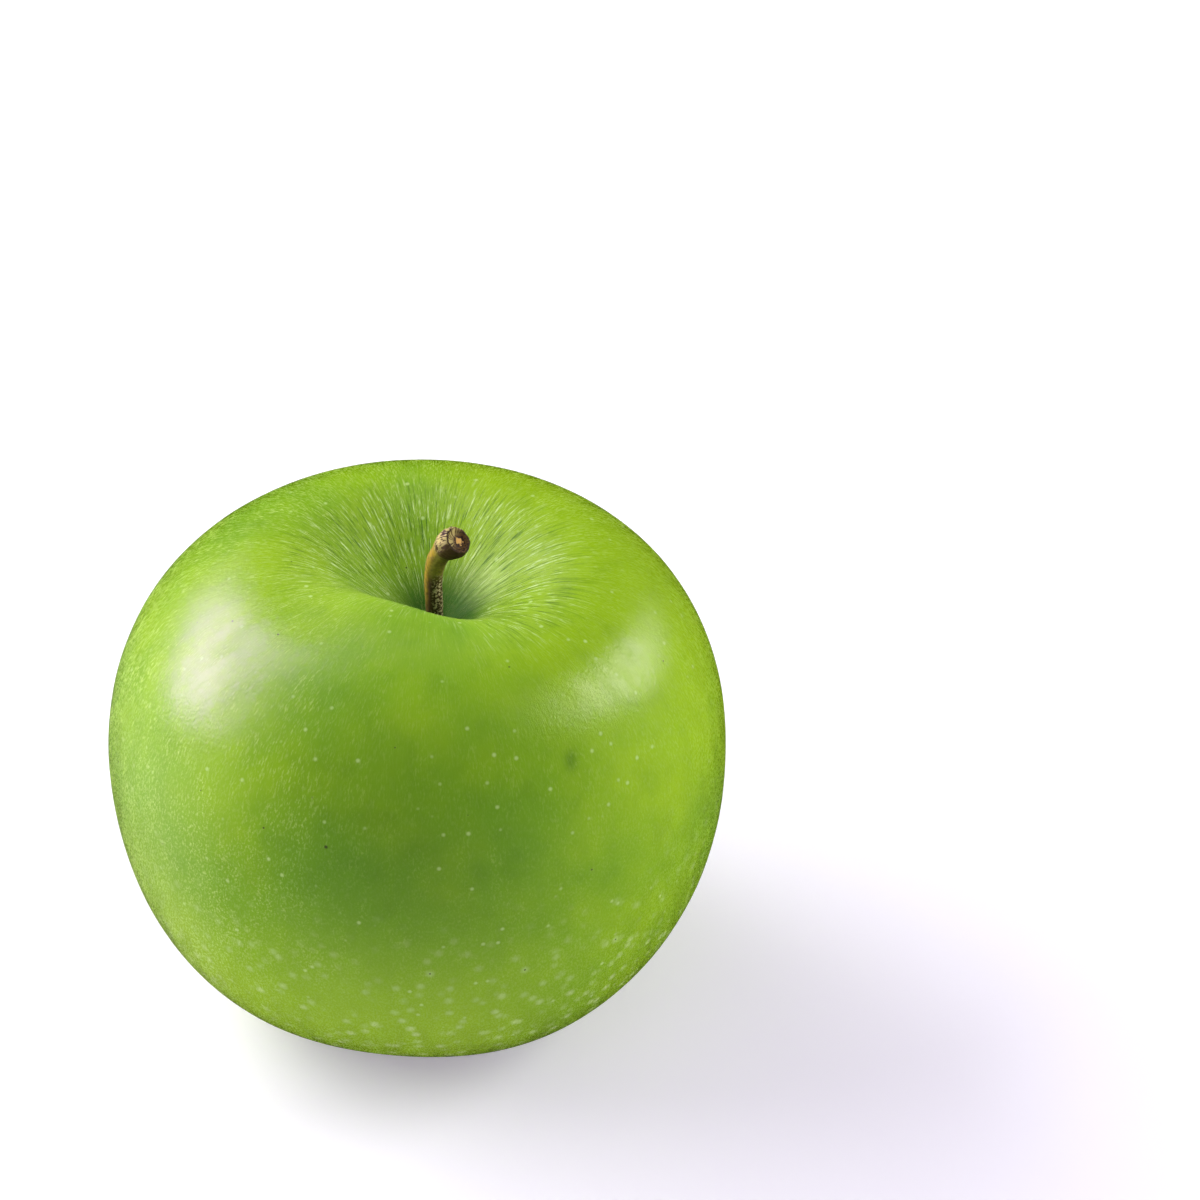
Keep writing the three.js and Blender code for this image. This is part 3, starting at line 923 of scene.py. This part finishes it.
class APPLE_OT_calyx(bpy.types.Operator):
    """Grow the dried flower in the basin underneath: five sepals and a tuft of stamens"""

    bl_idname = "apple.calyx"
    bl_label = "Calyx"

    def execute(self, context):
        fruit, shape = context.scene.apple_fruit, context.scene.apple_calyx
        colours = context.scene.apple_colours
        middle = body_middle(fruit)
        top = fruit.basin_depth - fruit.half_height + shape.base_sink
        foot = top - shape.base_thickness
        draw = random.Random(31)

        sepals = [round_base(shape.base_radius, foot, top)]
        for sepal in range(shape.sepal_count):
            reach = shape.sepal_length * draw.uniform(0.86, 1)
            curl = draw.uniform(0.9, 1.9) * MM
            ripple = draw.uniform(0.1, 0.25) * MM
            turn = fruit.rib_turn + (sepal + draw.uniform(0, 0.15)) / shape.sepal_count * TURN
            sepals.append(blade(
                40, 24, (foot + top) / 2, reach, turn,
                lambda s: (shape.root_radius - shape.sepal_lean * np.sin(math.pi * s) + curl * s**3
                           + ripple * np.sin(9 * s)),
                lambda s: shape.sepal_width * (1 - 0.75 * s**1.5) * (1 + 0.06 * np.sin(21 * s)),
                lambda s: shape.sepal_thickness * (1 - 0.4 * s),
                lambda s: ripple * np.sin(7 * s),
            ))
        corners, faces = join_skins(sepals)
        leaf = dried_leaf(colours)
        piece = make_piece("apple_sepals", corners + middle, faces, leaf, "sepals")
        add_attribute(piece, "edge", smooth(foot - corners[:, 2], 1.5 * MM, 4 * MM) * 0.5)

        # The stamens' own base is 0.6 mm thick and hangs clear of the sepals' base
        tuft_radius, tuft_gap, tuft_thickness = 0.9 * MM, 0.3 * MM, 0.6 * MM
        tuft_top = foot - tuft_gap
        tuft_foot = tuft_top - tuft_thickness
        tuft = [round_base(tuft_radius, tuft_foot, tuft_top, 24)]
        for stamen in range(shape.stamen_count):
            root = draw.uniform(0.1, 0.6) * MM
            lean = draw.uniform(-0.2, 0.2) * MM
            head = draw.uniform(1.4, 2.0)
            reach = shape.stamen_length * draw.uniform(0.7, 1)
            turn = stamen / shape.stamen_count * TURN

            def girth(s):
                return 2 * shape.stamen_radius * (1 + (head - 1) * smooth(s, 0.75, 0.9))

            tuft.append(blade(
                24, 8, (tuft_foot + tuft_top) / 2, reach, turn,
                lambda s: root + lean * s**2, girth, girth,
            ))
        corners, faces = join_skins(tuft)
        thread = dried_thread(colours)
        make_piece("apple_stamens", corners + middle, faces, thread, "stamens")
        return {"FINISHED"}


def area_light(name, target, direction, distance, across, size, power, shine=None):
    """A soft oval lamp that faces the target from a direction. Its first size runs along
    across. It lights the peel, or else only shines in the wax, in the colour of its shine."""
    light = bpy.data.lights.new(name, "AREA")
    light.shape = "ELLIPSE"
    light.size, light.size_y = size
    light.energy = power
    light.color = linear(shine) if shine else (1, 1, 1)
    lamp = bpy.data.objects.new(name, light)
    way = Vector(direction).normalized()
    lamp.location = Vector(target) + way * distance
    lamp.visible_diffuse, lamp.visible_glossy = not shine, bool(shine)
    upright = way.cross(Vector(across)).normalized()
    lamp.rotation_euler = Matrix((upright.cross(way), upright, way)).transposed().to_euler()
    bpy.context.scene.collection.objects.link(lamp)


# The studio's lamps: their direction from the fruit, distance in metres, the way that their
# first size runs, both sizes in metres, power in watts and, for a lamp that only shines in
# the wax, the colour of its shine
LAMPS = [
    ("left_shine", (-0.77, 0.37, 0.49), 0.8, (0.53, 0.45, 0.41), (0.9, 0.36), 13.5, "#e7b5ff"),
    ("right_shine", (0.82, 0.2, 0.53), 0.8, (-0.2, -0.87, 0.44), (0.66, 0.4), 4.6, "#fff6f3"),
    ("left_fill", (-0.8, 0.3, 0.5), 0.8, (0, 1, 0), (1.0, 0.7), 7.7),
    ("back_left", (-0.7, 0.8, 0.5), 1.2, (1, 1, 0), (0.8, 0.6), 4.1),
    ("right_fill", (0.95, 0.2, 0.5), 1.0, (0, 1, 0), (0.5, 0.5), 4.8),
    ("low_right", (0.95, -0.1, 0.2), 1.0, (0, 1, 0), (0.8, 0.5), 3.4),
    ("low_left", (-0.9, -0.25, 0.12), 0.8, (0, 1, 0), (0.8, 0.3), 1.0),
]

# The room's light: the axis that it changes along, where it is dark, where it is brightest
# and its strength there
ROOM_LIGHT = [(0, 0.0, -1.0, 0.2), (2, 0.35, 0.0, 0.68), (2, 0.0, 1.0, 0.4)]


class APPLE_OT_stage(bpy.types.Operator):
    """Set the plain studio: a white sweep, soft lights and the photograph's camera"""

    bl_idname = "apple.stage"
    bl_label = "Studio"

    def execute(self, context):
        scene, studio = context.scene, context.scene.apple_studio
        middle = Vector(body_middle(scene.apple_fruit))
        self.make_floor(studio)
        for name, *settings in LAMPS:
            area_light(name, middle, *settings)
        self.make_world(scene)
        self.make_camera(scene, studio, middle)
        scene.view_settings.view_transform = "Standard"
        return {"FINISHED"}

    def make_floor(self, studio):
        """A plain white floor that the wax doesn't mirror."""
        reach = 2.5
        corners = [(x * reach, y * reach, 0) for x, y in ((-1, -1), (1, -1), (1, 1), (-1, 1))]
        mesh = bpy.data.meshes.new("studio_floor")
        mesh.from_pydata(corners, [], [(0, 1, 2, 3)])
        mesh.materials.append(white_sweep(studio))
        floor = bpy.data.objects.new("studio_floor", mesh)
        bpy.context.scene.collection.objects.link(floor)
        floor.visible_glossy = False

    def make_world(self, scene):
        """A room that is light on the apple's left, level with it and above it."""
        world = bpy.data.worlds.new("studio_room")
        world.use_nodes = True
        tree = world.node_tree
        direction = add(tree, "ShaderNodeTexCoord", output="Generated")
        axes = add(tree, "ShaderNodeSeparateXYZ", {"Vector": direction}).node.outputs
        light = 0.0
        for axis, dark, bright, strength in ROOM_LIGHT:
            part = add(
                tree, "ShaderNodeMapRange",
                {VALUE: axes[axis], LOW: dark, HIGH: bright, AT_LOW: 0.0, AT_HIGH: strength},
                interpolation_type="SMOOTHSTEP",
            )
            light = add(tree, "ShaderNodeMath", {0: light, 1: part}, operation="ADD")
        background = tree.nodes["Background"]
        tree.links.new(light, background.inputs["Strength"])
        background.inputs["Color"].default_value = (1, 1, 1, 1)
        world.cycles_visibility.glossy = False
        scene.world = world

    def make_camera(self, scene, studio, middle):
        """A camera that has the fruit's middle where the photograph has it."""
        camera = bpy.data.objects.new("camera", bpy.data.cameras.new("camera"))
        camera.data.lens = studio.focal_length
        camera.data.sensor_width = SENSOR_WIDTH
        camera.data.clip_start, camera.data.clip_end = 0.05, 10
        back = Vector((0, -math.cos(studio.elevation), math.sin(studio.elevation)))
        camera.location = middle + back * studio.distance
        focal_pixels = studio.focal_length / SENSOR_WIDTH * studio.photo_size
        aside = studio.photo_x - studio.photo_size / 2
        down = studio.photo_y - studio.photo_size / 2
        seen = Vector((aside, -down, -focal_pixels)).normalized()
        aim = back.to_track_quat("Z", "Y")
        swing = seen.rotation_difference(Vector((0, 0, -1)))
        camera.rotation_mode = "QUATERNION"
        camera.rotation_quaternion = aim @ swing
        scene.collection.objects.link(camera)
        scene.camera = camera


class APPLE_PT_panel(bpy.types.Panel):
    """Buttons and sizes of the apple"""

    bl_idname = "APPLE_PT_panel"
    bl_label = "Green Apple"
    bl_space_type = "VIEW_3D"
    bl_region_type = "UI"
    bl_category = "Apple"

    def draw(self, context):
        for operator in OPERATORS:
            self.layout.operator(operator.bl_idname)
        for name, group in GROUPS.items():
            box = self.layout.box()
            box.label(text=group.__doc__)
            for field in group.__annotations__:
                box.prop(getattr(context.scene, name), field)


OPERATORS = [APPLE_OT_stage, APPLE_OT_fruit, APPLE_OT_stem, APPLE_OT_calyx]
CLASSES = [*GROUPS.values(), *OPERATORS, APPLE_PT_panel]


def register():
    for cls in CLASSES:
        bpy.utils.register_class(cls)
    for name, group in GROUPS.items():
        setattr(bpy.types.Scene, name, bpy.props.PointerProperty(type=group))


def unregister():
    for name in GROUPS:
        delattr(bpy.types.Scene, name)
    for cls in reversed(CLASSES):
        bpy.utils.unregister_class(cls)


def main():
    register()
    bpy.ops.apple.stage()
    bpy.ops.apple.fruit()
    bpy.ops.apple.stem()
    bpy.ops.apple.calyx()


if __name__ == "__main__":
    main()
